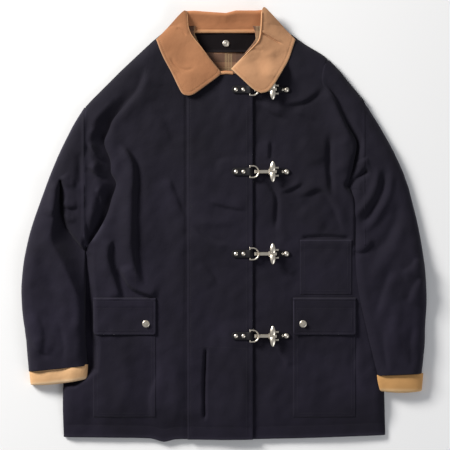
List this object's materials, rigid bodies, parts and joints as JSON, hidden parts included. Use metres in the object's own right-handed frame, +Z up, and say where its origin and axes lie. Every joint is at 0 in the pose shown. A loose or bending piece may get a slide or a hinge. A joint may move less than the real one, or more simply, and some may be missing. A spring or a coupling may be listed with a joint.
{
  "type": "turnout coat",
  "caption": "Fireman-style cotton coat laid flat and buttoned by hook-and-dee clasps, with a contrast fold-over collar, turned cuffs, flapped hip pockets and a chest pocket.",
  "frame": {"origin": "centre of the coat's outline, on the surface it lies on", "axes": "+X to the wearer's left, +Y from hem to collar, +Z up out of the fronts"},
  "size_m": [0.8084, 0.87, 0.042],
  "materials": {
    "navy_cotton": "tight dark navy cotton duck, slightly washed at the seams",
    "tan_canvas": "brushed tan cotton with a fine cord, paler along folded edges",
    "plaid_lining": "brown and taupe plaid cotton with fine cream lines",
    "nickel": "polished nickel plate with light handling wear",
    "black_strap": "dark dyed strap leather"
  },
  "bodies": {
    "coat": {"back_panel": "navy_cotton", "back_lining": "plaid_lining", "neck_facing": "navy_cotton", "neck_snap": "nickel", "left_front_panel": "navy_cotton", "left_front_lining": "plaid_lining", "right_front_panel": "navy_cotton", "right_front_lining": "plaid_lining", "placket": "navy_cotton", "seam_strips": "navy_cotton", "collar_band": "tan_canvas", "under_collar": "tan_canvas", "collar_stand": "tan_canvas", "chest_pocket": "navy_cotton", "left_hip_pocket": "navy_cotton", "right_hip_pocket": "navy_cotton", "pocket_snap_studs": "nickel", "upper_ring_tabs": "black_strap", "upper_tab_rivets": "nickel", "hook_straps": "black_strap", "hook_strap_rivets": "nickel"},
    "front_corner": {"front_corner_panel": "navy_cotton", "front_corner_lining": "plaid_lining", "placket_corner": "navy_cotton", "lower_ring_tabs": "black_strap", "lower_tab_rivets": "nickel"},
    "collar_left": {"left_collar_leaf": "tan_canvas"},
    "collar_right": {"right_collar_leaf": "tan_canvas"},
    "flap_left": {"left_pocket_flap": "navy_cotton", "left_flap_snap_cap": "nickel"},
    "flap_right": {"right_pocket_flap": "navy_cotton", "right_flap_snap_cap": "nickel"},
    "sleeve_left": {"left_upper_sleeve": "navy_cotton", "left_under_sleeve": "navy_cotton", "left_sleeve_seams": "navy_cotton", "left_cuff": "tan_canvas"},
    "sleeve_right": {"right_upper_sleeve": "navy_cotton", "right_under_sleeve": "navy_cotton", "right_sleeve_seams": "navy_cotton", "right_cuff": "tan_canvas"},
    "clasp_hook_1": {"hook_1": "nickel", "lever_spring_1": "nickel"},
    "clasp_lever_1": {"lever_1": "nickel"},
    "clasp_ring_1": {"dee_ring_1": "nickel"},
    "clasp_hook_2": {"hook_2": "nickel", "lever_spring_2": "nickel"},
    "clasp_lever_2": {"lever_2": "nickel"},
    "clasp_ring_2": {"dee_ring_2": "nickel"},
    "clasp_hook_3": {"hook_3": "nickel", "lever_spring_3": "nickel"},
    "clasp_lever_3": {"lever_3": "nickel"},
    "clasp_ring_3": {"dee_ring_3": "nickel"},
    "clasp_hook_4": {"hook_4": "nickel", "lever_spring_4": "nickel"},
    "clasp_lever_4": {"lever_4": "nickel"},
    "clasp_ring_4": {"dee_ring_4": "nickel"}
  },
  "joints": [
    {"name": "front_fold", "type": "hinge", "parent": "coat", "child": "front_corner", "pos_m": [0.057, 0.085, 0.027], "axis": [-0.3603, -0.9328, 0], "range_deg": [0, 130]},
    {"name": "collar_left_lift", "type": "hinge", "parent": "coat", "child": "collar_left", "pos_m": [0.01818, 0.30357, 0.042], "axis": [-0.5822, -0.8131, 0], "range_deg": [0, 85]},
    {"name": "collar_right_lift", "type": "hinge", "parent": "coat", "child": "collar_right", "pos_m": [-0.01818, 0.30357, 0.042], "axis": [-0.5822, 0.8131, 0], "range_deg": [0, 85]},
    {"name": "flap_left_lift", "type": "hinge", "parent": "coat", "child": "flap_left", "pos_m": [0.2, -0.153, 0.0336], "axis": [-1, 0, 0], "range_deg": [0, 160]},
    {"name": "flap_right_lift", "type": "hinge", "parent": "coat", "child": "flap_right", "pos_m": [-0.2, -0.153, 0.0336], "axis": [-1, 0, 0], "range_deg": [0, 160]},
    {"name": "sleeve_left_swing", "type": "hinge", "parent": "coat", "child": "sleeve_left", "pos_m": [0.2773, 0.246, 0.012], "axis": [0, 0, 1], "range_deg": [0, 15]},
    {"name": "sleeve_right_swing", "type": "hinge", "parent": "coat", "child": "sleeve_right", "pos_m": [-0.2773, 0.246, 0.012], "axis": [0, 0, -1], "range_deg": [0, 15]},
    {"name": "hook_1_swing", "type": "hinge", "parent": "coat", "child": "clasp_hook_1", "pos_m": [0.107, 0.271, 0.0246], "axis": [0, 1, 0], "range_deg": [0, 4]},
    {"name": "lever_1_press", "type": "hinge", "parent": "clasp_hook_1", "child": "clasp_lever_1", "pos_m": [0.09, 0.271, 0.031], "axis": [0, 1, 0], "range_deg": [0, 11], "stiffness_Nm_per_rad": 0.02, "springref_deg": -20.05},
    {"name": "ring_1_swing", "type": "hinge", "parent": "coat", "child": "clasp_ring_1", "pos_m": [0.051, 0.271, 0.0294], "axis": [0, -1, 0], "range_deg": [0, 20]},
    {"name": "hook_2_swing", "type": "hinge", "parent": "coat", "child": "clasp_hook_2", "pos_m": [0.107, 0.107, 0.0246], "axis": [0, 1, 0], "range_deg": [0, 28]},
    {"name": "lever_2_press", "type": "hinge", "parent": "clasp_hook_2", "child": "clasp_lever_2", "pos_m": [0.09, 0.107, 0.031], "axis": [0, 1, 0], "range_deg": [0, 11], "stiffness_Nm_per_rad": 0.02, "springref_deg": -20.05},
    {"name": "ring_2_swing", "type": "hinge", "parent": "coat", "child": "clasp_ring_2", "pos_m": [0.051, 0.107, 0.0294], "axis": [0, -1, 0], "range_deg": [0, 140]},
    {"name": "hook_3_swing", "type": "hinge", "parent": "coat", "child": "clasp_hook_3", "pos_m": [0.107, -0.057, 0.0246], "axis": [0, 1, 0], "range_deg": [0, 28]},
    {"name": "lever_3_press", "type": "hinge", "parent": "clasp_hook_3", "child": "clasp_lever_3", "pos_m": [0.09, -0.057, 0.031], "axis": [0, 1, 0], "range_deg": [0, 11], "stiffness_Nm_per_rad": 0.02, "springref_deg": -20.05},
    {"name": "ring_3_swing", "type": "hinge", "parent": "front_corner", "child": "clasp_ring_3", "pos_m": [0.051, -0.057, 0.0294], "axis": [0, -1, 0], "range_deg": [0, 140]},
    {"name": "hook_4_swing", "type": "hinge", "parent": "coat", "child": "clasp_hook_4", "pos_m": [0.107, -0.221, 0.0246], "axis": [0, 1, 0], "range_deg": [0, 28]},
    {"name": "lever_4_press", "type": "hinge", "parent": "clasp_hook_4", "child": "clasp_lever_4", "pos_m": [0.09, -0.221, 0.031], "axis": [0, 1, 0], "range_deg": [0, 11], "stiffness_Nm_per_rad": 0.02, "springref_deg": -20.05},
    {"name": "ring_4_swing", "type": "hinge", "parent": "front_corner", "child": "clasp_ring_4", "pos_m": [0.051, -0.221, 0.0294], "axis": [0, -1, 0], "range_deg": [0, 140]}
  ],
  "couplings": [
    {"joint": "ring_1_swing", "follows": "hook_1_swing", "ratio": 5},
    {"joint": "ring_2_swing", "follows": "hook_2_swing", "ratio": 5},
    {"joint": "ring_3_swing", "follows": "hook_3_swing", "ratio": 5},
    {"joint": "ring_4_swing", "follows": "hook_4_swing", "ratio": 5}
  ]
}
